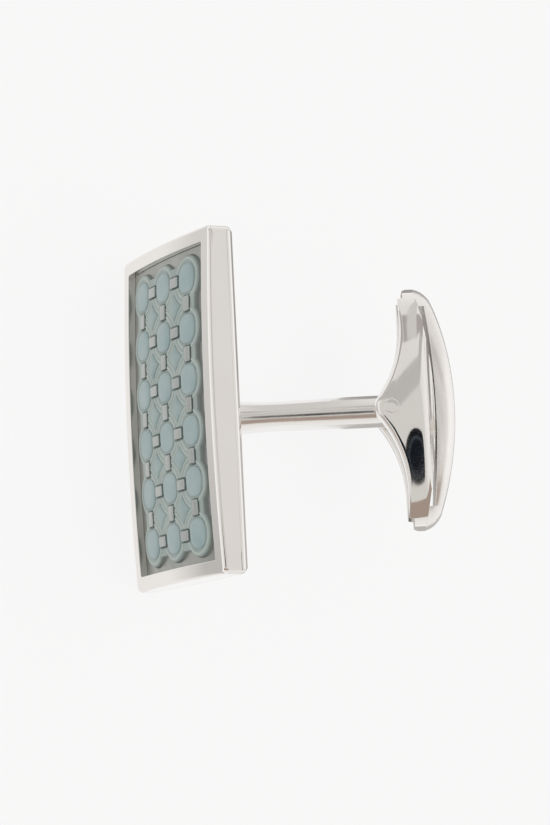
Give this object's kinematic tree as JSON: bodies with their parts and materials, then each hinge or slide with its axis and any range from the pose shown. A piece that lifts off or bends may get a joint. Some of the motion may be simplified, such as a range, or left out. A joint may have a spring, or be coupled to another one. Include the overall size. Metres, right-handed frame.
{
  "type": "cufflink",
  "caption": "Rectangular enamelled cufflink with a gently crowned silver frame, a leaning round post and a sculpted oval toggle that swivels on a pin.",
  "frame": {"origin": "at the middle of the flat back of the face", "axes": "+X along the face's long side, +Y square to the face, from its front to the toggle, +Z across the face"},
  "size_m": [0.02, 0.0179, 0.0126],
  "materials": {
    "polished_silver": "polished",
    "oxidised_silver": "satin",
    "field_enamel": "gloss",
    "roundel_enamel": "gloss",
    "lozenge_enamel": "gloss",
    "spring_steel": "satin"
  },
  "bodies": {
    "face": {"back_plate": "polished_silver", "bars_across": "polished_silver", "bars_upright": "polished_silver", "bezel_frame": "polished_silver", "enamel_field": "field_enamel", "ground_plate": "oxidised_silver", "lozenge_1_1": "lozenge_enamel", "lozenge_1_2": "lozenge_enamel", "lozenge_2_1": "lozenge_enamel", "lozenge_2_2": "lozenge_enamel", "lozenge_3_1": "lozenge_enamel", "lozenge_3_2": "lozenge_enamel", "lozenge_4_1": "lozenge_enamel", "lozenge_4_2": "lozenge_enamel", "lozenge_5_1": "lozenge_enamel", "lozenge_5_2": "lozenge_enamel", "post": "polished_silver", "roundel_1_1": "roundel_enamel", "roundel_1_2": "roundel_enamel", "roundel_1_3": "roundel_enamel", "roundel_2_1": "roundel_enamel", "roundel_2_2": "roundel_enamel", "roundel_2_3": "roundel_enamel", "roundel_3_1": "roundel_enamel", "roundel_3_2": "roundel_enamel", "roundel_3_3": "roundel_enamel", "roundel_4_1": "roundel_enamel", "roundel_4_2": "roundel_enamel", "roundel_4_3": "roundel_enamel", "roundel_5_1": "roundel_enamel", "roundel_5_2": "roundel_enamel", "roundel_5_3": "roundel_enamel", "roundel_6_1": "roundel_enamel", "roundel_6_2": "roundel_enamel", "roundel_6_3": "roundel_enamel"},
    "toggle": {"toggle_saddle": "polished_silver", "toggle_back_plate": "polished_silver", "pivot_pin": "polished_silver", "leaf_spring": "spring_steel"}
  },
  "joints": [
    {"name": "toggle_swivel", "type": "hinge", "parent": "face", "child": "toggle", "pos_m": [0, 0.01143, 0.00288], "axis": [0, -0.4695, 0.8829], "range_deg": [-90, 90]}
  ]
}
